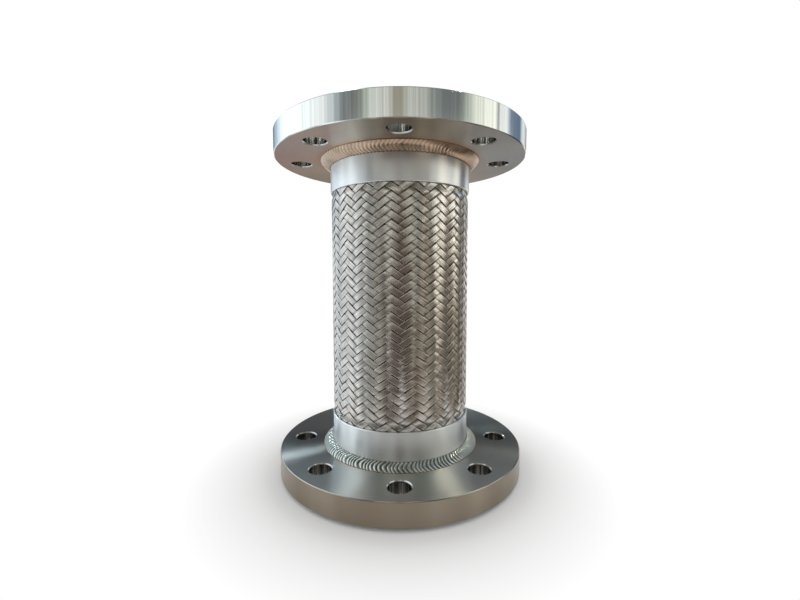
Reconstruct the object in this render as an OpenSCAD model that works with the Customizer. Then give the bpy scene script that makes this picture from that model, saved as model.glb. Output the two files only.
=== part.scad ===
// Flanged metal hose: two plate flanges joined by a corrugated bellows in a wire braid.
// The origin is the centre of the lower gasket face, and +Z runs along the hose.

/* [Overall] */
// Length over both gasket faces
overall_length = 300; // [240:1:400]
// Diameter of the flow passage
bore_d = 100; // [70:0.5:140]

/* [Flanges] */
// From a collar out to the circle of the bolt holes
bolt_reach = 27.5; // [20:0.5:40]
// From the circle of the bolt holes out to the rim
rim_reach = 20; // [12:0.5:40]
// Thickness of the flange rim, without the raised face
rim_t = 19.5; // [14:0.5:30]
// From the raised gasket face to the mouths of the bolt holes
face_land = 1.2; // [1.1:0.1:6]
// Height of the raised gasket face
raised_face_h = 3; // [2:0.5:5]
// Diameter of a bolt hole
bolt_hole_d = 18; // [12:0.5:24]
// Number of bolt holes in a flange
bolt_count = 8; // [4:1:12]
// Bevel along the edges of the rim
rim_bevel = 0.6; // [0.3:0.1:2]
// Bevel round the mouths of the bolt holes
hole_bevel = 0.8; // [0.3:0.1:1.2]
// Gasket grooves cut in a raised face
groove_count = 4; // [1:1:6]
// Width of a gasket groove
groove_w = 1.2; // [0.5:0.1:2]
// Depth of a gasket groove
groove_depth = 0.5; // [0.2:0.1:1]

/* [Pipe stubs] */
// Wall of the pipe stub that carries the bellows
stub_wall = 4; // [3:0.1:4.5]
// Room between the stub and the bore of its flange
stub_slip = 1; // [0.5:0.1:1.5]
// How far a stub stops short of the gasket face
stub_setback = 4; // [3:0.1:6]
// Length of the stub inside the bellows cuff
cuff_lap = 9.5; // [6:0.5:14]

/* [Collars] */
// Wall of a collar
collar_wall = 1.5; // [1:0.1:3]
// Length of a collar from its flange
collar_length = 28.5; // [24:0.5:45]
// Bevel along the free edge of a collar
collar_bevel = 0.4; // [0.2:0.1:0.8]

/* [Welds] */
// Reach of a collar weld along the flange
weld_reach = 9; // [5:0.5:12]
// Height of the lower collar weld on its collar
lower_weld_h = 4.6; // [3:0.1:9]
// Height of the upper collar weld on its collar
upper_weld_h = 6.4; // [3:0.1:9]
// How far a weld's face crowns past a straight line
weld_crown = 0.8; // [0.2:0.1:1.5]
// Thickness of the weld that closes a collar's end
cap_weld_t = 4; // [3:0.5:6]
// How far a bore weld stays behind the gasket face
bore_weld_inset = 0.8; // [0.4:0.1:1.5]

/* [Bellows] */
// Thickness of the bellows wall
bellows_wall = 0.5; // [0.3:0.1:0.8]
// Length that one corrugation is aimed at
conv_pitch = 11.4; // [9:0.1:14]
// Straight part of a corrugation's side beyond the bend of the cuff
conv_flank = 0.5; // [0.2:0.1:6]
// Room between the cuff and its stub
cuff_slip = 0.15; // [0.1:0.05:0.3]
// Bend where the cuff turns into the first corrugation
cuff_bend_r = 1.2; // [0.8:0.1:1.6]
// Length from a stub's end to the first corrugation
cuff_tail = 2; // [1.8:0.1:4]

/* [Braid] */
// Thickness of the braid where a collar squeezes it
braid_wall = 1.2; // [0.8:0.1:1.6]
// How far the free braid swells past its squeezed size
braid_swell = 1.3; // [0.9:0.1:2]
// Depth of the grooves between the strands
braid_groove = 0.9; // [0.4:0.1:1.1]
// Strands that run each way round the braid, an even number
strand_count = 38; // [24:2:44]
// Height that one row of the weave is aimed at
row_pitch = 7.2; // [6:0.1:9]
// Length over which the braid flares out of a collar
braid_flare = 7; // [6:0.5:12]
// Length past a collar's edge where the braid is still squeezed
braid_hold = 1; // [0.5:0.1:2]
// Turn of the weave about the hose
braid_turn = 8.5; // [0:0.5:18]

/* [Fits] */
// Room between a weld and the round wall beside it
weld_gap = 0.1; // [0.05:0.05:0.2]
// Room between the braid and what it lies against
braid_gap = 0.3; // [0.2:0.05:0.4]
// Overrun of the cutting tools
cut = 1; // [0.5:0.1:1.1]

/* [Hidden] */

turned_steel = [0.70, 0.71, 0.69];
pipe_steel = [0.64, 0.65, 0.66];
collar_steel = [0.74, 0.76, 0.77];
weld_steel = [0.82, 0.82, 0.78];
bellows_steel = [0.78, 0.79, 0.80];
braid_steel = [0.62, 0.59, 0.56];

round_steps = 96;
bend_angle = 22.5;
weld_steps = 6;

// Heights from the gasket face, the same at both ends
flange_t = rim_t + raised_face_h;
cap_weld_top = flange_t + cap_weld_t;
stub_end = cap_weld_top + cuff_lap;
collar_end = flange_t + collar_length;

// Radii from the passage outwards
bore_r = bore_d / 2;
stub_r = bore_r + stub_wall;
flange_bore_r = stub_r + stub_slip;
half_wall = bellows_wall / 2;
cuff_r = stub_r + cuff_slip + half_wall;
crest_r = cuff_r + cuff_bend_r + conv_flank + conv_pitch / 4 + half_wall;
sleeve_bore_r = crest_r + braid_gap;
squeezed_r = sleeve_bore_r + braid_wall;
crown_r = squeezed_r + braid_swell;
valley_r = crown_r - braid_groove;
collar_bore_r = squeezed_r + braid_gap;
collar_r = collar_bore_r + collar_wall;
bolt_circle_r = collar_r + bolt_reach;
flange_r = bolt_circle_r + rim_reach;
bolt_hole_r = bolt_hole_d / 2;
raised_face_r = bolt_circle_r - bolt_hole_r - hole_bevel - face_land;

// Corrugations: whole crests that fill the length between the two cuffs
wave_start = stub_end + cuff_tail;
wave_length = overall_length - 2 * wave_start;
crest_count = round(wave_length / conv_pitch + 1 / 2);
wave_bend_r = wave_length / (2 * crest_count - 1) / 2;
crest_bend_centre_r = crest_r - half_wall - wave_bend_r;
root_bend_centre_r = bore_r + half_wall + wave_bend_r;

// Weave: an odd number of half rows fills the length between the two collars
weave_length = overall_length - 2 * collar_end;
half_rows = 2 * floor(weave_length / row_pitch) + 1;
half_row = weave_length / half_rows;
columns = 2 * strand_count;
column_angle = 360 / columns;
column_points = (half_rows + 5) / 2;
crown_inset_share = 0.2;

// Points of a round bend in the radial plane
function bend(centre_r, centre_z, radius, from, to) =
    let (steps = abs(to - from) / bend_angle)
    [
        for (i = [0 : steps])
            let (a = from + (to - from) * i / steps)
            [centre_r + radius * cos(a), centre_z + radius * sin(a)]
    ];

// Points of a weld's face from one toe to the other, crowned outwards
function weld_face(toe, other_toe) =
    let (run = other_toe - toe, out = [run.y, -run.x] / norm(run))
    [for (i = [0 : weld_steps]) toe + run * i / weld_steps + out * weld_crown * sin(180 * i / weld_steps)];

module ring(profile) {
    rotate_extrude($fn = round_steps)
        polygon(profile);
}

// Puts a lower end piece at the upper end
module at_upper_end() {
    translate([0, 0, overall_length])
        mirror([0, 0, 1])
            children();
}

// Flange: bevelled plate, raised face with gasket grooves, bevelled bolt holes
groove_step = (raised_face_r - flange_bore_r) / (groove_count + 1);
groove_points = [
    for (i = [1 : groove_count])
        let (r = flange_bore_r + i * groove_step)
        each [[r - groove_w / 2, 0], [r, groove_depth], [r + groove_w / 2, 0]]
];

module bolt_hole() {
    mouth_r = bolt_hole_r + hole_bevel + cut;
    ring([
        [0, raised_face_h - cut],
        [mouth_r, raised_face_h - cut],
        [bolt_hole_r, raised_face_h + hole_bevel],
        [bolt_hole_r, flange_t - hole_bevel],
        [mouth_r, flange_t + cut],
        [0, flange_t + cut]
    ]);
}

module flange() {
    color(turned_steel)
        difference() {
            ring(concat(
                [[flange_bore_r, 0]],
                groove_points,
                [
                    [raised_face_r, 0],
                    [raised_face_r, raised_face_h],
                    [flange_r - rim_bevel, raised_face_h],
                    [flange_r, raised_face_h + rim_bevel],
                    [flange_r, flange_t - rim_bevel],
                    [flange_r - rim_bevel, flange_t],
                    [flange_bore_r, flange_t]
                ]
            ));
            for (i = [0 : bolt_count - 1])
                rotate([0, 0, i * 360 / bolt_count - 90])
                    translate([bolt_circle_r, 0, 0])
                        bolt_hole();
        }
}

// Pipe stub through the flange, which the bellows cuff slides over
module stub() {
    color(pipe_steel)
        ring([
            [bore_r, stub_setback],
            [stub_r, stub_setback],
            [stub_r, stub_end],
            [bore_r, stub_end]
        ]);
}

// Weld between the end of the stub and the bore of the flange
module bore_weld() {
    outer_r = flange_bore_r - weld_gap;
    inner_toe = [bore_r + weld_gap, stub_setback];
    color(weld_steel)
        ring(concat(
            weld_face(inner_toe, [outer_r, bore_weld_inset]),
            [[outer_r, stub_setback]]
        ));
}

// Weld that closes the collar's end and holds cuff, braid and collar on the stub
module cap_weld() {
    color(weld_steel)
        ring([
            [stub_r + weld_gap, flange_t],
            [collar_bore_r - weld_gap, flange_t],
            [collar_bore_r - weld_gap, cap_weld_top],
            [stub_r + weld_gap, cap_weld_top]
        ]);
}

// Collar over the end of the braid
module collar() {
    color(collar_steel)
        ring([
            [collar_bore_r, flange_t],
            [collar_r, flange_t],
            [collar_r, collar_end - collar_bevel],
            [collar_r - collar_bevel, collar_end],
            [collar_bore_r, collar_end]
        ]);
}

// Fillet weld round the foot of the collar
module collar_weld(height) {
    inner_r = collar_r + weld_gap;
    color(weld_steel)
        ring(concat(
            weld_face([inner_r + weld_reach, flange_t], [inner_r, flange_t + height]),
            [[inner_r, flange_t]]
        ));
}

// One side of the bellows wall, from the lower cuff to the upper one
function bellows_side(side) =
    let (
        wave_end = overall_length - wave_start,
        cuff_bend_centre_r = cuff_r + cuff_bend_r,
        step = 2 * wave_bend_r
    )
    concat(
        [[cuff_r + side, cap_weld_top]],
        bend(cuff_bend_centre_r, wave_start - cuff_bend_r, cuff_bend_r - side, 180, 90),
        [
            for (i = [0 : 2 * crest_count - 2])
                let (z = wave_start + wave_bend_r + i * step)
                each i % 2 == 0
                    ? bend(crest_bend_centre_r, z, wave_bend_r + side, -90, 90)
                    : bend(root_bend_centre_r, z, wave_bend_r - side, -90, -270)
        ],
        bend(cuff_bend_centre_r, wave_end + cuff_bend_r, cuff_bend_r - side, -90, -180),
        [[cuff_r + side, overall_length - cap_weld_top]]
    );

function reversed(points) = [for (i = [len(points) - 1 : -1 : 0]) points[i]];

module bellows() {
    color(bellows_steel)
        ring(concat(bellows_side(half_wall), reversed(bellows_side(-half_wall))));
}

// Braid: strands that pass over two and under two, as a lattice of crossings.
// A float is the stretch of a strand over two crossings. Its four corners and the
// middles of its long sides lie in the valleys, and two crown points lift its middle.
// Floats with lean 1 rise to the right in columns 0 and 1 of four, and floats with
// lean -1 rise to the left in columns 3 and 2, so the two kinds make upright stripes.

// Share of the full swell at a height
function swell_share(z) =
    let (
        past_collar = min(z - collar_end, overall_length - collar_end - z) - braid_hold,
        t = max(0, min(1, past_collar / braid_flare))
    )
    t * t * (3 - 2 * t);

// Point of the braid at a place of the lattice, whole or broken
function braid_point(column, row, free_r) =
    let (
        z = collar_end + row * half_row,
        r = squeezed_r + (free_r - squeezed_r) * swell_share(z),
        a = braid_turn + column * column_angle
    )
    [r * cos(a), r * sin(a), z];

function first_row(column) = column % 2 == 0 ? -1 : -2;

// Number of a lattice point in the list of points
function valley(column, row) =
    let (c = (column + columns) % columns)
    c * column_points + (row - first_row(c)) / 2;

// Each float: column and row of its lower crossing, and its lean
floats = [
    for (c = [0 : 4 : columns - 1])
        each concat(
            [for (row = [0 : 2 : half_rows - 1]) [c, row, 1]],
            [for (row = [-1 : 2 : half_rows]) [c + 3, row, -1]]
        )
];

valley_points = [
    for (c = [0 : columns - 1], i = [0 : column_points - 1])
        braid_point(c, first_row(c) + 2 * i, valley_r)
];
crown_points = [
    for (f = floats)
        let (near = crown_inset_share / 2, far = 1 - near)
        each [
            braid_point(f[0] + f[2] * far, f[1] + near, crown_r),
            braid_point(f[0] + f[2] * near, f[1] + far, crown_r)
        ]
];
first_crown = len(valley_points);
first_ring = first_crown + len(crown_points);

// Faces are turned to be clockwise from outside
function facing(lean, face) = lean > 0 ? face : [face[0], face[2], face[1]];

float_faces = [
    for (i = [0 : len(floats) - 1])
        let (
            c = floats[i][0],
            row = floats[i][1],
            lean = floats[i][2],
            foot = valley(c - lean, row),
            heel = valley(c, row - 1),
            low_side = valley(c + lean, row),
            tip = valley(c + 2 * lean, row + 1),
            head = valley(c + lean, row + 2),
            high_side = valley(c, row + 1),
            low_crown = first_crown + 2 * i,
            high_crown = low_crown + 1
        )
        for (face = [
            [foot, high_crown, low_crown],
            [foot, low_crown, heel],
            [high_crown, head, tip],
            [high_crown, tip, low_crown],
            [foot, high_side, high_crown],
            [high_side, head, high_crown],
            [heel, low_crown, low_side],
            [low_side, low_crown, tip]
        ])
            facing(lean, face)
];

// Plain crossings fill the notches below the first floats and above the last
function plain_crossing(column, row) = [
    [valley(column - 1, row), valley(column, row + 1), valley(column + 1, row)],
    [valley(column - 1, row), valley(column + 1, row), valley(column, row - 1)]
];
notch_faces = [
    for (c = [0 : 4 : columns - 1])
        each concat(plain_crossing(c + 1, -1), plain_crossing(c, half_rows + 1))
];

// Four rings close the sleeve: outside and inside at each end
function sleeve_ring(r, z) = [
    for (c = [0 : columns - 1])
        let (a = braid_turn + c * column_angle)
        [r * cos(a), r * sin(a), z]
];
sleeve_points = concat(
    sleeve_ring(squeezed_r, cap_weld_top),
    sleeve_ring(sleeve_bore_r, cap_weld_top),
    sleeve_ring(sleeve_bore_r, overall_length - cap_weld_top),
    sleeve_ring(squeezed_r, overall_length - cap_weld_top)
);

function on_ring(ring_number, column) = first_ring + ring_number * columns + column % columns;

function lowest_valley(column) = valley(column, first_row(column % columns));

function highest_valley(column) = lowest_valley(column) + column_points - 1;

function strip(a, b, c, d) = [[a, b, c], [a, c, d]];

sleeve_faces = [
    for (c = [0 : columns - 1])
        each concat(
            strip(on_ring(0, c), lowest_valley(c), lowest_valley(c + 1), on_ring(0, c + 1)),
            strip(highest_valley(c), on_ring(3, c), on_ring(3, c + 1), highest_valley(c + 1)),
            strip(on_ring(3, c), on_ring(2, c), on_ring(2, c + 1), on_ring(3, c + 1)),
            strip(on_ring(1, c), on_ring(1, c + 1), on_ring(2, c + 1), on_ring(2, c)),
            strip(on_ring(0, c), on_ring(0, c + 1), on_ring(1, c + 1), on_ring(1, c))
        )
];

module braid() {
    color(braid_steel)
        polyhedron(
            points = concat(valley_points, crown_points, sleeve_points),
            faces = concat(float_faces, notch_faces, sleeve_faces)
        );
}

flange();  // lower_flange
stub();  // lower_stub
bore_weld();  // lower_bore_weld
cap_weld();  // lower_cap_weld
collar();  // lower_collar
collar_weld(lower_weld_h);  // lower_collar_weld
at_upper_end() flange();  // upper_flange
at_upper_end() stub();  // upper_stub
at_upper_end() bore_weld();  // upper_bore_weld
at_upper_end() cap_weld();  // upper_cap_weld
at_upper_end() collar();  // upper_collar
at_upper_end() collar_weld(upper_weld_h);  // upper_collar_weld
bellows();
braid();
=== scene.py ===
import math
from collections import namedtuple

import bpy
import numpy as np
from mathutils import Matrix, Vector


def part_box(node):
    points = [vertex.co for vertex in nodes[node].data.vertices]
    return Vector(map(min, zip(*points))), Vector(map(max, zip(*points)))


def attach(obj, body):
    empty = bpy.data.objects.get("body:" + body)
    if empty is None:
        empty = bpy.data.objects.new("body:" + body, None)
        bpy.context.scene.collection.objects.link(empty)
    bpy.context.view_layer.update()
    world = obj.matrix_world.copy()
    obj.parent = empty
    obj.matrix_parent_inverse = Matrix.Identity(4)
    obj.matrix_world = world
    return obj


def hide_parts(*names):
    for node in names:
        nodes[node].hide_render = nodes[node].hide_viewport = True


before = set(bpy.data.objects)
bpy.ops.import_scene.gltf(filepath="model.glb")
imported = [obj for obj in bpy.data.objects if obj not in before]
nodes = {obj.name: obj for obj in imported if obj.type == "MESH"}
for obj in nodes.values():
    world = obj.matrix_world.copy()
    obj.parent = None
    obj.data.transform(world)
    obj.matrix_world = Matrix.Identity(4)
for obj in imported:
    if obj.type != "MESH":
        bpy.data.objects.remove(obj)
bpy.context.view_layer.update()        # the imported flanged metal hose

MM = 0.001

# Sizes read from the frame, in metres
flange_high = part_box("lower_flange")[1]
FLANGE_R = flange_high.x
FLANGE_TOP = flange_high.z
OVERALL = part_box("upper_flange")[1].z
collar_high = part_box("lower_collar")[1]
COLLAR_R = collar_high.x
COLLAR_END = collar_high.z
LOWER_WELD_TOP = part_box("lower_collar_weld")[1].z
UPPER_WELD_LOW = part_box("upper_collar_weld")[0].z
WELD_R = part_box("lower_collar_weld")[1].x
SLEEVE_LOW, SLEEVE_HIGH = (corner.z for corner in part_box("braid"))

# Weave, as in the solid: strands each way, height of a row, turn about the hose
STRANDS = 38
ROW_PITCH = 7.2 * MM
TURN = math.radians(8.5)
COLUMN_ANGLE = math.pi / STRANDS
WEAVE_LENGTH = OVERALL - 2 * COLLAR_END
HALF_ROWS = 2 * math.floor(WEAVE_LENGTH / ROW_PITCH) + 1
HALF_ROW = WEAVE_LENGTH / HALF_ROWS

rng = np.random.default_rng(7)


# Mesh helpers
def mesh_object(name, points, faces, smooth=True, uv=None):
    mesh = bpy.data.meshes.new(name)
    points = np.asarray(points, np.float32)
    faces = np.asarray(faces, np.int32)
    mesh.vertices.add(len(points))
    mesh.vertices.foreach_set("co", points.ravel())
    mesh.loops.add(faces.size)
    mesh.loops.foreach_set("vertex_index", faces.ravel())
    mesh.polygons.add(len(faces))
    sides = faces.shape[1]
    mesh.polygons.foreach_set("loop_start", np.arange(0, faces.size, sides, dtype=np.int32))
    mesh.polygons.foreach_set("loop_total", np.full(len(faces), sides, np.int32))
    mesh.update(calc_edges=True)
    if uv is not None:
        layer = mesh.uv_layers.new(name="UVMap")
        layer.data.foreach_set("uv", np.asarray(uv, np.float32)[faces.ravel()].ravel())
    mesh.validate()
    mesh.polygons.foreach_set("use_smooth", np.full(len(faces), smooth))
    made = bpy.data.objects.new(name, mesh)
    bpy.context.scene.collection.objects.link(made)
    return made


def grid_faces(rows, columns, first=0, close_rows=False):
    """Quads of a grid of points numbered row by row, where each row is a closed ring."""
    r = np.arange(rows if close_rows else rows - 1)
    r, c = np.meshgrid(r, np.arange(columns), indexing="ij")
    r2 = (r + 1) % rows
    c2 = (c + 1) % columns
    corners = [r * columns + c, r * columns + c2, r2 * columns + c2, r2 * columns + c]
    return np.stack(corners, axis=-1).reshape(-1, 4) + first


def on_cylinder(radius, angle, height):
    return np.stack([radius * np.cos(angle), radius * np.sin(angle), height + 0 * angle], axis=-1)


def smoothstep(t):
    return t * t * (3 - 2 * t)


def smooth_noise(length, knots, generator):
    """Smooth random curve between -1 and 1, one value per sample."""
    values = generator.uniform(-1, 1, knots)
    place = np.linspace(0, knots - 1, length)
    low = np.minimum(place.astype(int), knots - 2)
    t = smoothstep(place - low)
    return values[low] * (1 - t) + values[low + 1] * t


# Braid: flat strands of parallel wires, over two and under two
WIRES = 7
STRAND_SHARE = 0.87          # width of a strand, as a share of a column
MID_R = COLLAR_R - 1.4 * MM  # middle of the weave
SQUEEZE = 1.1 * MM           # how far in the collars hold the braid's ends
BRAID_HOLD = 1 * MM          # past a collar, where the braid is still held in
BRAID_FLARE = 7 * MM         # and from there, where it swells
OFFSET = 0.34 * MM           # of a strand from the middle of the weave
FLOAT_CROWN = 0.1 * MM       # rise of a float towards its middle
FLOAT_HALF = 0.784           # half the length of a float, in columns
CROSS_SHARPNESS = 2.4        # how fast a strand dives under its neighbours
HALF_THICKNESS = 0.25 * MM
WIRE_BULGE = 0.05 * MM
END_INSET = 0.3 * MM         # of a strand's end from the end of the sleeve
END_CLEARANCE = 0.1 * MM
TILT = 0.3 * MM              # largest random tilt of a float across its width
UNEVEN = 0.03                # random share of a strand's width and place
UNEVEN_KNOTS = 24
PERIOD = 4                   # columns after which the weave repeats
STATIONS = (-0.716, -0.5, -0.284, 0.1, 0.5, 0.9, 1.284, 1.5, 1.716, 2.5)


def swell_share(z):
    """How far the braid has swelled: 0 where a collar holds it, 1 along the middle."""
    past = np.minimum(z - COLLAR_END, OVERALL - COLLAR_END - z) - BRAID_HOLD
    return smoothstep(np.clip(past / BRAID_FLARE, 0, 1))


def strand_section():
    """Points across a strand: place across it from -0.5 to 0.5 and height above its middle."""
    across = [-0.48, -0.5]
    height = [-HALF_THICKNESS, 0]
    for wire in range(WIRES):
        left = -0.5 + wire / WIRES
        across += [left + 0.27 / WIRES, left + 0.73 / WIRES]
        height += [HALF_THICKNESS, HALF_THICKNESS]
        if wire < WIRES - 1:
            across.append(left + 1 / WIRES)
            height.append(HALF_THICKNESS - WIRE_BULGE)
    across += [0.5, 0.48]
    height += [0, -HALF_THICKNESS]
    return np.array(across), np.array(height)


def strand_stations(start, end, lean):
    """Columns where a strand has a cross-section: close together where it dives."""
    first = math.floor(start / PERIOD) - 2
    last = math.ceil(end / PERIOD) + 1
    offset = 0 if lean > 0 else 2
    places = [PERIOD * n + offset + s for n in range(first, last + 1) for s in STATIONS]
    inside = [p for p in places if start + 0.2 < p < end - 0.2]
    return np.array([start, *inside, end])


def strand_points(number, lean, generator):
    """Grid of points of one strand, and of their places across and along it for the UV map."""
    across, height = strand_section()
    low_row = (SLEEVE_LOW + END_INSET - COLLAR_END) / HALF_ROW
    high_row = (SLEEVE_HIGH - END_INSET - COLLAR_END) / HALF_ROW
    if lean > 0:
        start, end = low_row + 2 * number + 0.5, high_row + 2 * number - 0.5
    else:
        start, end = 2 * number - high_row + 0.5, 2 * number - low_row - 0.5
    column = strand_stations(start, end, lean)
    count = len(column)
    wave = np.cos(math.pi * (column - 0.5) / 2) * lean
    shift = UNEVEN * smooth_noise(count, UNEVEN_KNOTS, generator)
    float_number = np.floor((column + 0.5) / 2).astype(int)
    float_number -= float_number.min()
    tilt = TILT * generator.uniform(-1, 1, float_number.max() + 1)[float_number]
    width = STRAND_SHARE * (1 + UNEVEN * smooth_noise(count, UNEVEN_KNOTS, generator))
    alpha = width[:, None] * across[None, :] + shift[:, None]
    column_here = column[:, None] + alpha
    if lean > 0:
        row_here = column[:, None] - 2 * number - alpha
    else:
        row_here = 2 * number - column[:, None] + alpha
    z = COLLAR_END + row_here * HALF_ROW
    z = np.clip(z, SLEEVE_LOW + END_CLEARANCE, SLEEVE_HIGH - END_CLEARANCE)
    angle = TURN + column_here * COLUMN_ANGLE
    swell = swell_share(z)
    centre = 0.5 if lean > 0 else 2.5
    from_centre = np.abs((column - centre + PERIOD / 2) % PERIOD - PERIOD / 2) / FLOAT_HALF
    crown = FLOAT_CROWN * (1 - np.minimum(from_centre, 1) ** 2)[:, None]
    lift = OFFSET * np.clip(CROSS_SHARPNESS * wave, -1, 1)[:, None] + crown
    middle = MID_R - SQUEEZE * (1 - swell)
    radius = middle + lift + height[None, :] + tilt[:, None] * across[None, :] * swell
    column_grid, across_grid = np.meshgrid(column, across, indexing="ij")
    return on_cylinder(radius, angle, z), np.stack([across_grid, column_grid], axis=-1)


def make_braid_piece(name, lean, numbers):
    points, faces, places, first = [], [], [], 0
    for number in numbers:
        grid, place = strand_points(number, lean, rng)
        rows, columns = grid.shape[:2]
        points.append(grid.reshape(-1, 3))
        places.append(place.reshape(-1, 2))
        quads = grid_faces(rows, columns, first)
        if lean < 0:
            quads = quads[:, ::-1]
        faces.append(quads)
        first += rows * columns
    uv = np.concatenate(places)
    return mesh_object(name, np.concatenate(points), np.concatenate(faces), uv=uv)


braid_pieces = []
HALF = STRANDS // 2
for lean, side in ((1, "right"), (-1, "left")):
    for part, numbers in enumerate((range(HALF), range(HALF, STRANDS))):
        name = f"braid_strands_{side}_{part + 1}"
        braid_pieces.append(make_braid_piece(name, lean, numbers))


# Welds: a crowned bead with overlapping ripples, in the solid's own outline
RIPPLES = 126
RIPPLE_STEPS = 12
LOWER_RIPPLE = 0.5 * MM      # height of the ripples
UPPER_RIPPLE = 0.13 * MM
RIPPLE_LAG = 0.8             # how far a ripple bends back in the middle of the bead
PHASE_UNEVEN, PHASE_KNOTS = 0.35, 60
HEIGHT_UNEVEN, HEIGHT_KNOTS = 0.3, 90
WELD_ROWS = 12
WELD_CROWN = 0.8 * MM
SCALLOP = 0.7 * MM           # of the bead's edge on the collar
WELD_GAP = 0.1 * MM


def make_weld(name, flange_z, tip_z, ripple_height, generator):
    """A bead between the flange at flange_z and its tip on the collar at tip_z."""
    steps = RIPPLES * RIPPLE_STEPS
    inner_r = COLLAR_R + WELD_GAP
    toe = np.array([WELD_R, flange_z])
    tip = np.array([inner_r, tip_z])
    run = tip - toe
    out = np.array([abs(run[1]), abs(run[0]) * np.sign(run[1])]) / np.linalg.norm(run)
    share = np.linspace(0, 1, WELD_ROWS)
    angle = np.arange(steps) * 2 * math.pi / steps
    uneven = PHASE_UNEVEN * smooth_noise(steps, PHASE_KNOTS, generator)
    uneven *= np.sin(np.linspace(0, math.pi, steps))
    phase = angle * RIPPLES / (2 * math.pi) + uneven
    crescent = RIPPLE_LAG * 4 * share * (1 - share)
    ripple = (phase[None, :] + crescent[:, None]) % 1
    lift = np.sin(math.pi * ripple ** 0.7) ** 1.1
    strength = ripple_height * (1 + HEIGHT_UNEVEN * smooth_noise(steps, HEIGHT_KNOTS, generator))
    arch = np.sin(math.pi * share)
    dip = (lift - 1) * strength[None, :] * np.clip(arch * 4, 0, 1)[:, None]
    face = toe[None, :] + run[None, :] * share[:, None]
    face = face + out[None, :] * WELD_CROWN * arch[:, None]
    radius = face[:, 0:1] + out[0] * dip
    height = face[:, 1:2] + out[1] * dip
    height = height + SCALLOP * lift * (share ** 6)[:, None] * np.sign(run[1])
    rows = [on_cylinder(radius[i], angle, height[i]) for i in range(WELD_ROWS)]
    rows.append(on_cylinder(inner_r, angle, np.full(steps, flange_z)))
    points = np.concatenate(rows)
    crest = np.concatenate([lift.ravel(), np.zeros(steps)])
    across = np.repeat(np.append(share, 1.0), steps)
    quads = grid_faces(WELD_ROWS + 1, steps, close_rows=True)
    if tip_z < flange_z:
        quads = quads[:, ::-1]
    return mesh_object(name, points, quads, uv=np.stack([crest, across], axis=-1))


lower_weld = make_weld("lower_weld_bead", FLANGE_TOP, LOWER_WELD_TOP, LOWER_RIPPLE, rng)
upper_weld = make_weld(
    "upper_weld_bead", OVERALL - FLANGE_TOP, UPPER_WELD_LOW, UPPER_RIPPLE, rng
)


# Materials
def new_material(name):
    material = bpy.data.materials.new(name)
    material.use_nodes = True
    tree = material.node_tree
    return material, tree, tree.nodes["Principled BSDF"]


def node(tree, kind, **settings):
    made = tree.nodes.new(kind)
    for key, value in settings.items():
        if key in made.inputs:
            made.inputs[key].default_value = value
        else:
            setattr(made, key, value)
    return made


def math_node(tree, operation, a, b=None, clamp=False):
    made = tree.nodes.new("ShaderNodeMath")
    made.operation = operation
    made.use_clamp = clamp
    for socket, value in zip(made.inputs, (a, b)):
        if value is None:
            continue
        if isinstance(value, (int, float)):
            socket.default_value = value
        else:
            tree.links.new(value, socket)
    return made.outputs[0]


def ramp(tree, factor, stops):
    made = tree.nodes.new("ShaderNodeValToRGB")
    elements = made.color_ramp.elements
    stops = list(stops)
    while len(elements) < len(stops):
        elements.new(0.5)
    for element, (position, colour) in zip(elements, stops):
        element.position = position
        element.color = (*colour, 1)
    tree.links.new(factor, made.inputs[0])
    return made.outputs[0]


def split_xyz(tree, vector):
    made = tree.nodes.new("ShaderNodeSeparateXYZ")
    tree.links.new(vector, made.inputs[0])
    return made.outputs


Place = namedtuple("Place", "vector x y z radius")


def object_place(tree):
    """Place in the object's own frame, which is the hose's frame."""
    vector = tree.nodes.new("ShaderNodeTexCoord").outputs["Object"]
    x, y, z = split_xyz(tree, vector)
    squares = [math_node(tree, "MULTIPLY", value, value) for value in (x, y)]
    radius = math_node(tree, "SQRT", math_node(tree, "ADD", *squares))
    return Place(vector, x, y, z, radius)


def uv_place(tree):
    return split_xyz(tree, tree.nodes.new("ShaderNodeTexCoord").outputs["UV"])[:2]


def from_mid_height(tree, z):
    return math_node(tree, "ABSOLUTE", math_node(tree, "SUBTRACT", z, OVERALL / 2))


def weighted(tree, a, b, share):
    """Sum of a number's share and the rest of another."""
    a = math_node(tree, "MULTIPLY", a, share)
    return math_node(tree, "ADD", a, math_node(tree, "MULTIPLY", b, 1 - share))


def noise(tree, vector, scale, detail=2, roughness=0.5):
    made = node(tree, "ShaderNodeTexNoise", Scale=scale, Detail=detail, Roughness=roughness)
    tree.links.new(vector, made.inputs["Vector"])
    return made.outputs["Fac"]


def combine(tree, x, y, z):
    made = tree.nodes.new("ShaderNodeCombineXYZ")
    for socket, value in zip(made.inputs, (x, y, z)):
        if isinstance(value, (int, float)):
            socket.default_value = value
        else:
            tree.links.new(value, socket)
    return made.outputs[0]


def map_range(tree, value, low, high, to_low, to_high):
    made = node(tree, "ShaderNodeMapRange")
    settings = {"From Min": low, "From Max": high, "To Min": to_low, "To Max": to_high}
    for key, setting in settings.items():
        made.inputs[key].default_value = setting
    tree.links.new(value, made.inputs["Value"])
    return made.outputs["Result"]


def radial_tangent(tree, shader, amount):
    """Turned surface: the marks run round the hose, so highlights stretch across them."""
    tangent = tree.nodes.new("ShaderNodeTangent")
    tangent.direction_type = "RADIAL"
    tangent.axis = "Z"
    tree.links.new(tangent.outputs[0], shader.inputs["Tangent"])
    shader.inputs["Anisotropic"].default_value = amount
    shader.inputs["Anisotropic Rotation"].default_value = 0.25


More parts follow.
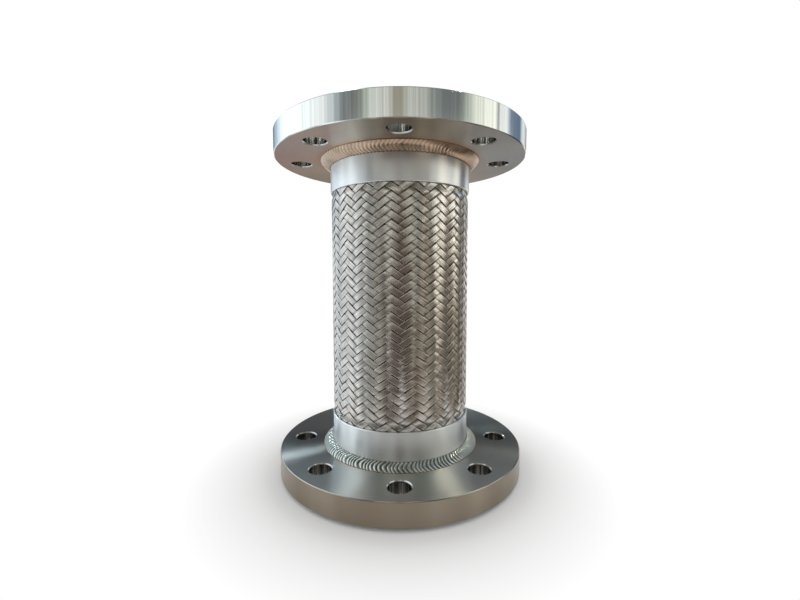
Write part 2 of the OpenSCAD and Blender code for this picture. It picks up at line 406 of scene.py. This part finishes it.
def mixed(tree, factor, a, b, blend="MIX"):
    made = tree.nodes.new("ShaderNodeMix")
    made.data_type = "RGBA"
    made.blend_type = blend
    for socket, value in (("Factor", factor), ("A", a), ("B", b)):
        if isinstance(value, tuple):
            made.inputs[socket].default_value = (*value, 1)
        elif isinstance(value, (int, float)):
            made.inputs[socket].default_value = value
        else:
            tree.links.new(value, made.inputs[socket])
    return made.outputs["Result"]


def float_mix(tree, factor, a, b):
    made = tree.nodes.new("ShaderNodeMix")
    tree.links.new(factor, made.inputs[0])
    for socket, value in (("A", a), ("B", b)):
        if isinstance(value, float):
            made.inputs[socket].default_value = value
        else:
            tree.links.new(value, made.inputs[socket])
    return made.outputs["Result"]


NOISE_RANGE = (0.3, 0.7)     # where most of a noise texture's values lie


def steel_base(tree, shader, at, colours, rough, ring_scale):
    """Colour and roughness with fine turning marks and faint clouds."""
    rings = noise(tree, combine(tree, at.radius, at.z, 0.0), ring_scale, 3, 0.6)
    cloud = noise(tree, at.vector, 24, 3)
    blend = weighted(tree, rings, cloud, 0.5)
    shader.inputs["Metallic"].default_value = 1
    base = ramp(tree, blend, zip(NOISE_RANGE, colours))
    return base, map_range(tree, blend, *NOISE_RANGE, *rough)


# Colours and reach of the flanges' parts
FACE_COLOURS = ((0.41, 0.41, 0.39), (0.49, 0.50, 0.48))
FACE_ROUGHNESS = (0.28, 0.30)
FACE_RING_SCALE = 900
# Painted warm reflection, laid on the upper flange's faces
UPPER_FACE_REFLECTION_TINT = (1.18, 1.04, 0.91)
HEAT_TINT = (0.62, 0.42, 0.28)
HEAT_START, HEAT_END = 0.5 * MM, 6 * MM
HEAT_BELOW, HEAT_ABOVE = 0.25, 0.75
CUT_COLOUR = (0.52, 0.51, 0.48)
CUT_ROUGHNESS = 0.12
# Painted reflection: upright dark and bright streaks on the walls
WALL_REFLECTION_STREAKS = (
    (0.38, (0.18, 0.17, 0.155)),
    (0.50, (0.56, 0.55, 0.52)),
    (0.62, (0.98, 0.97, 0.94)),
)
STREAK_SCALE = 240
# Painted reflection: the lower rim's brown, in upright bands
LOWER_RIM_REFLECTION = (
    (0.35, (0.25, 0.205, 0.155)),
    (0.52, (0.28, 0.235, 0.18)),
    (0.66, (0.37, 0.33, 0.265)),
)
RIM_REFLECTION_BAND_SCALE = 22
BRIGHT_RIM = (0.80, 0.81, 0.79)
LOWER_RIM_ROUGHNESS, UPPER_RIM_ROUGHNESS = 0.2, 0.07


def flange_material():
    """Turned faces, a bright rim above and a brown one below whose brown and upright bands are
    painted reflection, and drilled holes with bevels and painted reflection streaks on their
    walls.
    """
    material, tree, shader = new_material("turned_flange_steel")
    at = object_place(tree)
    face, rough = steel_base(tree, shader, at, FACE_COLOURS, FACE_ROUGHNESS, FACE_RING_SCALE)
    upper = map_range(tree, at.z, 0.4 * OVERALL, 0.6 * OVERALL, 0.0, 1.0)
    # Painted warm reflection: the faces of the upper flange are tinted warm
    under = mixed(tree, upper, (1.0, 1.0, 1.0), UPPER_FACE_REFLECTION_TINT)
    face = mixed(tree, 1.0, face, under, "MULTIPLY")

    # Heat tint round the welds, on the side of a flange that carries its weld
    heat = map_range(tree, at.radius, WELD_R + HEAT_START, WELD_R + HEAT_END, 1.0, 0.0)
    strength = map_range(tree, upper, 0.0, 1.0, HEAT_BELOW, HEAT_ABOVE)
    heat = math_node(tree, "MULTIPLY", heat, strength)
    weld_face = OVERALL / 2 - FLANGE_TOP
    from_middle = from_mid_height(tree, at.z)
    weld_side = map_range(tree, from_middle, weld_face + 0.5 * MM, weld_face + 1 * MM, 1.0, 0.0)
    heat = math_node(tree, "MULTIPLY", heat, weld_side)
    face = mixed(tree, heat, face, HEAT_TINT)

    # Bevels and hole walls, told apart by how level the surface is. The walls get upright dark
    # and bright streaks of painted reflection.
    normal = tree.nodes.new("ShaderNodeNewGeometry").outputs["True Normal"]
    level = math_node(tree, "ABSOLUTE", split_xyz(tree, normal)[2])
    wall = map_range(tree, level, 0.3, 0.6, 1.0, 0.0)
    cut = map_range(tree, level, 0.9, 0.98, 1.0, 0.0)
    face = mixed(tree, cut, face, CUT_COLOUR)
    plan = combine(tree, at.x, at.y, 0.0)
    wall_streaks = ramp(tree, noise(tree, plan, STREAK_SCALE, 2), WALL_REFLECTION_STREAKS)
    face = mixed(tree, wall, face, wall_streaks)

    # Rims: the lower one's brown and its upright bands are painted reflection
    rim = map_range(tree, at.radius, FLANGE_R - 0.5 * MM, FLANGE_R - 0.2 * MM, 0.0, 1.0)
    rim_reflection = ramp(tree, noise(tree, plan, RIM_REFLECTION_BAND_SCALE, 2), LOWER_RIM_REFLECTION)
    rim_colour = mixed(tree, upper, rim_reflection, BRIGHT_RIM)
    tree.links.new(mixed(tree, rim, face, rim_colour), shader.inputs["Base Color"])
    rim_rough = map_range(tree, upper, 0.0, 1.0, LOWER_RIM_ROUGHNESS, UPPER_RIM_ROUGHNESS)
    rough = float_mix(tree, cut, rough, CUT_ROUGHNESS)
    tree.links.new(float_mix(tree, rim, rough, rim_rough), shader.inputs["Roughness"])
    radial_tangent(tree, shader, 1.0)
    return material


def satin_steel(name, colours, rough, aniso, ring_scale=700):
    material, tree, shader = new_material(name)
    at = object_place(tree)
    base, roughness = steel_base(tree, shader, at, colours, rough, ring_scale)
    tree.links.new(base, shader.inputs["Base Color"])
    tree.links.new(roughness, shader.inputs["Roughness"])
    radial_tangent(tree, shader, aniso)
    return material


WELD_COLOURS = ((0.50, 0.50, 0.47), (0.72, 0.73, 0.70))
WELD_ROUGHNESS = (0.18, 0.28)


def weld_steel(name, tint, valley_shade):
    """Weld metal, with painted shade that darkens the valleys between its ripples where it has
    any.
    """
    material, tree, shader = new_material(name)
    cloud = noise(tree, object_place(tree).vector, 120, 3)
    base = ramp(tree, cloud, zip(NOISE_RANGE, WELD_COLOURS))
    base = mixed(tree, 1.0, base, tint, "MULTIPLY")
    # Painted shade: the valleys between the ripples are darkened, the crests left at full colour
    if valley_shade < 1:
        crest = uv_place(tree)[0]
        painted_shade, middle = (valley_shade,) * 3, ((1 + 2 * valley_shade) / 3,) * 3
        painted_valley_shade = ramp(tree, crest, ((0.1, painted_shade), (0.6, middle), (0.95, (1.0, 1.0, 1.0))))
        base = mixed(tree, 1.0, base, painted_valley_shade, "MULTIPLY")
    tree.links.new(base, shader.inputs["Base Color"])
    rough = map_range(tree, cloud, *NOISE_RANGE, *WELD_ROUGHNESS)
    tree.links.new(rough, shader.inputs["Roughness"])
    shader.inputs["Metallic"].default_value = 1
    return material


WIRE_COLOURS = (
    (0.34, (0.40, 0.37, 0.34)),
    (0.52, (0.62, 0.59, 0.555)),
    (0.66, (0.82, 0.80, 0.765)),
)
WIRE_ROUGHNESS = (0.15, 0.22)
WIRE_ANISOTROPY = 0.8
LINES_ACROSS = 5.0           # scale of the drawing marks across a strand
LINES_ALONG = 0.22           # and along it
STRAND_STEP = 90.0           # moves each strand to another place in the noise
GAP_DEPTH, CROWN_HEIGHT = 0.15 * MM, 0.5 * MM
GAP_SHADE_LEVEL = 0.16             # painted shade: brightness left deep in the gaps of the weave


def braid_material():
    """Drawn wire with marks along each strand, and painted shade that makes it darker and browner
    deep in the weave.
    """
    material, tree, shader = new_material("drawn_wire_steel")
    at = object_place(tree)
    island = tree.nodes.new("ShaderNodeNewGeometry").outputs["Random Per Island"]
    across, along = uv_place(tree)
    across = math_node(tree, "MULTIPLY", across, LINES_ACROSS)
    across = math_node(tree, "ADD", across, math_node(tree, "MULTIPLY", island, STRAND_STEP))
    along = math_node(tree, "MULTIPLY", along, LINES_ALONG)
    lines = noise(tree, combine(tree, across, along, 0.0), 1.0, 3, 0.65)
    cloud = noise(tree, at.vector, 90, 3)
    blend = weighted(tree, lines, cloud, 0.75)
    base = ramp(tree, blend, WIRE_COLOURS)

    # Painted shade: darker and browner deeper in the weave, with depth measured from where its
    # middle lies at this height
    from_end = math_node(
        tree, "SUBTRACT", OVERALL / 2 - COLLAR_END, from_mid_height(tree, at.z)
    )
    squeeze = map_range(tree, from_end, BRAID_HOLD, BRAID_HOLD + BRAID_FLARE, SQUEEZE, 0.0)
    squeeze.node.interpolation_type = "SMOOTHSTEP"
    local = math_node(tree, "ADD", at.radius, squeeze)
    gap_shade = map_range(tree, local, MID_R - GAP_DEPTH, MID_R + CROWN_HEIGHT, GAP_SHADE_LEVEL, 1.0)
    green, blue = (math_node(tree, "POWER", gap_shade, power) for power in (1.12, 1.25))
    painted_shade = combine(tree, gap_shade, green, blue)
    tree.links.new(mixed(tree, 1.0, base, painted_shade, "MULTIPLY"), shader.inputs["Base Color"])
    rough = map_range(tree, blend, WIRE_COLOURS[0][0], WIRE_COLOURS[-1][0], *WIRE_ROUGHNESS)
    tree.links.new(rough, shader.inputs["Roughness"])
    tangent = tree.nodes.new("ShaderNodeTangent")
    tangent.direction_type = "UV_MAP"
    tangent.uv_map = "UVMap"
    tree.links.new(tangent.outputs[0], shader.inputs["Tangent"])
    shader.inputs["Anisotropic"].default_value = WIRE_ANISOTROPY
    shader.inputs["Metallic"].default_value = 1
    return material


flange_steel = flange_material()
collar_steel = satin_steel(
    "satin_collar_steel", ((0.82, 0.84, 0.85), (0.88, 0.90, 0.91)), (0.28, 0.36), 0.85
)
pipe_steel = satin_steel(
    "pickled_pipe_steel", ((0.55, 0.56, 0.56), (0.66, 0.67, 0.67)), (0.35, 0.45), 0.3
)
bellows_steel = satin_steel(
    "rolled_bellows_steel", ((0.70, 0.71, 0.72), (0.80, 0.81, 0.82)), (0.2, 0.3), 0.4
)
# The last number is the painted shade left in the ripple valleys, 1 for none
lower_bead_steel = weld_steel("bright_weld_steel", (0.95, 0.98, 0.94), 0.13)
upper_bead_steel = weld_steel("tinted_weld_steel", (0.88, 0.64, 0.48), 0.66)
inner_bead_steel = weld_steel("plain_weld_steel", (0.95, 0.95, 0.93), 1.0)
strand_steel = braid_material()


def dress(piece, material):
    piece.data.materials.clear()
    piece.data.materials.append(material)


for end in ("lower", "upper"):
    dress(nodes[f"{end}_flange"], flange_steel)
    dress(nodes[f"{end}_collar"], collar_steel)
    dress(nodes[f"{end}_stub"], pipe_steel)
    dress(nodes[f"{end}_bore_weld"], inner_bead_steel)
    dress(nodes[f"{end}_cap_weld"], inner_bead_steel)
dress(nodes["bellows"], bellows_steel)

for piece in braid_pieces:
    dress(piece, strand_steel)
    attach(piece, "root")
    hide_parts("braid")

for piece, end, bead_steel in (
    (lower_weld, "lower", lower_bead_steel),
    (upper_weld, "upper", upper_bead_steel),
):
    dress(piece, bead_steel)
    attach(piece, "root")
    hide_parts(f"{end}_collar_weld")


# Floor: a pale round table whose edge fades into the white background
FLOOR_R = 0.2
FADE = (0.12, 0.185)
FLOOR_STEPS = 96
FLOOR_COLOUR = (0.90, 0.90, 0.90)
FLOOR_ROUGHNESS = 0.9
FLOOR_SPECULAR = 0.1


def make_floor():
    angle = np.arange(FLOOR_STEPS) * 2 * math.pi / FLOOR_STEPS
    points = on_cylinder(FLOOR_R, angle, np.zeros(FLOOR_STEPS))
    floor = mesh_object("studio_floor", points, [range(FLOOR_STEPS)], False)
    material, tree, shader = new_material("pale_floor")
    shader.inputs["Base Color"].default_value = (*FLOOR_COLOUR, 1)
    shader.inputs["Roughness"].default_value = FLOOR_ROUGHNESS
    shader.inputs["Specular IOR Level"].default_value = FLOOR_SPECULAR
    rays = tree.nodes.new("ShaderNodeLightPath").outputs
    seen = math_node(tree, "MAXIMUM", rays["Is Camera Ray"], rays["Is Glossy Ray"])
    seen = math_node(tree, "MAXIMUM", seen, rays["Is Transmission Ray"])
    far = map_range(tree, object_place(tree).radius, *FADE, 0.0, 1.0)
    glow = node(tree, "ShaderNodeEmission", Strength=1.0)
    glow.inputs["Color"].default_value = (1, 1, 1, 1)
    mix = tree.nodes.new("ShaderNodeMixShader")
    tree.links.new(math_node(tree, "MULTIPLY", seen, far), mix.inputs[0])
    tree.links.new(shader.outputs[0], mix.inputs[1])
    tree.links.new(glow.outputs[0], mix.inputs[2])
    tree.links.new(mix.outputs[0], tree.nodes["Material Output"].inputs["Surface"])
    floor.data.materials.append(material)


make_floor()


# Studio round the hose, as its metal shows it. The camera itself sees white all round.
# Azimuths are in degrees from -Y, where the camera stands, and grow towards +X.
# Upright panels above the horizon, each with its azimuth and colour
PANELS = (
    (-158, (0.05, 0.06, 0.07)),
    (-144, (0.36, 0.48, 0.60)),
    (-132, (0.70, 0.83, 0.94)),
    (-118, (1.30, 1.42, 1.50)),
    (-96, (1.30, 1.42, 1.50)),
    (-88, (1.15, 1.22, 1.26)),
    (-66, (0.98, 1.02, 1.02)),
    (-56, (0.55, 0.60, 0.63)),
    (-47, (0.23, 0.25, 0.26)),
    (-35, (0.19, 0.20, 0.19)),
    (-28, (0.42, 0.46, 0.41)),
    (-22, (0.66, 0.70, 0.66)),
    (-10, (0.66, 0.66, 0.62)),
    (-4, (0.34, 0.33, 0.27)),
    (3, (0.36, 0.35, 0.29)),
    (7, (0.55, 0.57, 0.52)),
    (19, (0.50, 0.51, 0.47)),
    (27, (0.28, 0.31, 0.29)),
    (36, (0.17, 0.19, 0.19)),
    (51, (0.17, 0.19, 0.19)),
    (57, (0.38, 0.42, 0.37)),
    (64, (0.78, 0.82, 0.72)),
    (78, (1.02, 1.04, 0.94)),
    (88, (1.10, 1.12, 1.04)),
    (91, (0.30, 0.30, 0.28)),
    (94, (0.95, 0.98, 0.95)),
    (103, (0.98, 1.02, 1.04)),
    (109, (0.20, 0.26, 0.36)),
    (128, (0.14, 0.20, 0.28)),
    (136, (0.85, 0.90, 0.92)),
    (146, (0.70, 0.72, 0.73)),
    (158, (0.05, 0.06, 0.06)),
)
# The room's lower part, in the same way
FLOOR_SIDE = (
    (-180, (0.50, 0.45, 0.38)),
    (-170, (0.36, 0.31, 0.26)),
    (-160, (0.36, 0.21, 0.26)),
    (-153, (0.28, 0.28, 0.30)),
    (-146, (0.90, 0.98, 1.05)),
    (-123, (0.98, 1.08, 1.16)),
    (-117, (0.35, 0.39, 0.42)),
    (-109, (1.10, 1.20, 1.28)),
    (-102, (1.10, 1.20, 1.28)),
    (-95, (0.50, 0.54, 0.56)),
    (-86, (1.30, 1.40, 1.48)),
    (-77, (1.10, 1.20, 1.25)),
    (-66, (0.40, 0.44, 0.46)),
    (-58, (0.55, 0.59, 0.60)),
    (-50, (0.20, 0.21, 0.20)),
    (-38, (0.52, 0.52, 0.48)),
    (-24, (0.14, 0.12, 0.105)),
    (-9, (0.165, 0.125, 0.115)),
    (6, (0.115, 0.085, 0.075)),
    (25, (0.17, 0.14, 0.11)),
    (41, (0.50, 0.44, 0.35)),
    (54, (0.10, 0.10, 0.085)),
    (70, (0.34, 0.30, 0.25)),
    (87, (0.10, 0.085, 0.075)),
    (105, (0.32, 0.29, 0.22)),
    (120, (0.07, 0.055, 0.06)),
    (131, (0.09, 0.075, 0.075)),
    (138, (1.00, 0.95, 0.88)),
    (147, (0.80, 0.75, 0.70)),
    (155, (0.27, 0.31, 0.36)),
    (168, (0.27, 0.31, 0.36)),
    (180, (0.50, 0.45, 0.38)),
)
# Windows and walls on top: azimuth, half width, elevation, half height, soft edge and glow
WINDOWS = (
    # white backdrop
    (180, 32, 0, 5, 3, (0.85, 0.85, 0.85)),
    # window at the back left
    (-148, 3.5, 24, 1.5, 1, (22.0, 26.0, 28.0)),
    # strip at the back right
    (149, 3, 23.5, 1, 1, (3.0, 3.0, 2.8)),
    # skylight on the right
    (146, 1.2, 58, 3, 0.6, (58.0, 55.0, 40.0)),
    # skylight on the left
    (-148, 8, 59, 6, 2, (5.0, 5.8, 5.8)),
    # warm wall on the right
    (70, 6, 3, 10, 4, (0.66, 0.58, 0.47)),
    # warm wall at the far right
    (105, 6, 3, 10, 4, (0.50, 0.45, 0.32)),
    # pale wall on the right
    (80, 32, 12.5, 3, 4, (1.7, 1.66, 1.54)),
    # pale wall in front
    (8, 50, 15, 3, 4, (0.50, 0.50, 0.46)),
)
PANELS_SPAN = (-158, 158)
FLOOR_SIDE_SPAN = (-180, 180)
HORIZON_BLEND = (3, 17)      # elevations between the lower part and the panels
OVERHEAD_BLEND = (55, 80)
OVERHEAD = (0.30, 0.31, 0.30)
LINES_PER_DEGREE = 0.4       # fine upright lines in the room
LINES_LEVEL = (0.6, 1.4)
PLAIN_LEVEL = 0.95


def make_world():
    world = bpy.data.worlds.new("studio")
    bpy.context.scene.world = world
    world.use_nodes = True
    tree = world.node_tree
    tree.nodes.clear()
    x, y, z = split_xyz(tree, tree.nodes.new("ShaderNodeTexCoord").outputs["Generated"])
    degrees = math.degrees(1)
    turn = math_node(tree, "ARCTAN2", x, math_node(tree, "MULTIPLY", y, -1.0))
    azimuth = math_node(tree, "MULTIPLY", turn, degrees)
    elevation = math_node(tree, "MULTIPLY", math_node(tree, "ARCSINE", z), degrees)

    def by_azimuth(stops, low, high):
        share = map_range(tree, azimuth, low, high, 0.0, 1.0)
        return ramp(tree, share, [((at - low) / (high - low), colour) for at, colour in stops])

    def inside(angle, middle, half, soft):
        off = math_node(tree, "SUBTRACT", angle, float(middle))
        off = math_node(tree, "PINGPONG", off, 180.0)
        return map_range(tree, off, half - soft / 2, half + soft / 2, 1.0, 0.0)

    panels = by_azimuth(PANELS, *PANELS_SPAN)
    low_side = by_azimuth(FLOOR_SIDE, *FLOOR_SIDE_SPAN)
    above = map_range(tree, elevation, *HORIZON_BLEND, 0.0, 1.0)
    room = mixed(tree, above, low_side, panels)
    line_place = math_node(tree, "MULTIPLY", azimuth, LINES_PER_DEGREE)
    lines = noise(tree, combine(tree, line_place, 0.0, 0.0), 1.0, 4, 0.65)
    level = map_range(tree, lines, *NOISE_RANGE, *LINES_LEVEL)
    room = mixed(tree, 1.0, room, combine(tree, level, level, level), "MULTIPLY")
    overhead = map_range(tree, elevation, *OVERHEAD_BLEND, 0.0, 1.0)
    room = mixed(tree, overhead, room, OVERHEAD)
    for middle, half, height, half_height, soft, glow in WINDOWS:
        within = inside(azimuth, middle, half, soft)
        share = math_node(tree, "MULTIPLY", within, inside(elevation, height, half_height, soft))
        room = mixed(tree, share, room, mixed(tree, 1.0, room, glow, "ADD"))
    rays = tree.nodes.new("ShaderNodeLightPath").outputs
    seen = math_node(tree, "MAXIMUM", rays["Is Glossy Ray"], rays["Is Transmission Ray"])
    colour = mixed(tree, seen, (PLAIN_LEVEL,) * 3, room)
    colour = mixed(tree, rays["Is Camera Ray"], colour, (1.0, 1.0, 1.0))
    background = tree.nodes.new("ShaderNodeBackground")
    tree.links.new(colour, background.inputs["Color"])
    output = tree.nodes.new("ShaderNodeOutputWorld")
    tree.links.new(background.outputs[0], output.inputs["Surface"])


make_world()


# Camera, fitted to the photograph
CAMERA_PLACE = Vector((1.697, -368.679, 179.565)) * MM
CAMERA_PITCH = 0.07147
CAMERA_YAW = 0.00439
CAMERA_ROLL = -0.00117
FOCAL_PIXELS = 394.626
IMAGE_WIDTH = 800
SENSOR = 36.0


def make_camera():
    data = bpy.data.cameras.new("camera")
    data.sensor_fit = "HORIZONTAL"
    data.sensor_width = SENSOR
    data.lens = FOCAL_PIXELS / IMAGE_WIDTH * SENSOR
    data.clip_start = 0.01
    data.clip_end = 100
    camera = bpy.data.objects.new("camera", data)
    bpy.context.scene.collection.objects.link(camera)
    turn = Matrix.Rotation(CAMERA_YAW, 4, "Z")
    tilt = Matrix.Rotation(math.pi / 2 - CAMERA_PITCH, 4, "X")
    roll = Matrix.Rotation(CAMERA_ROLL, 4, "Z")
    camera.matrix_world = Matrix.Translation(CAMERA_PLACE) @ turn @ tilt @ roll
    bpy.context.scene.camera = camera


make_camera()
bpy.context.scene.view_settings.view_transform = "Standard"
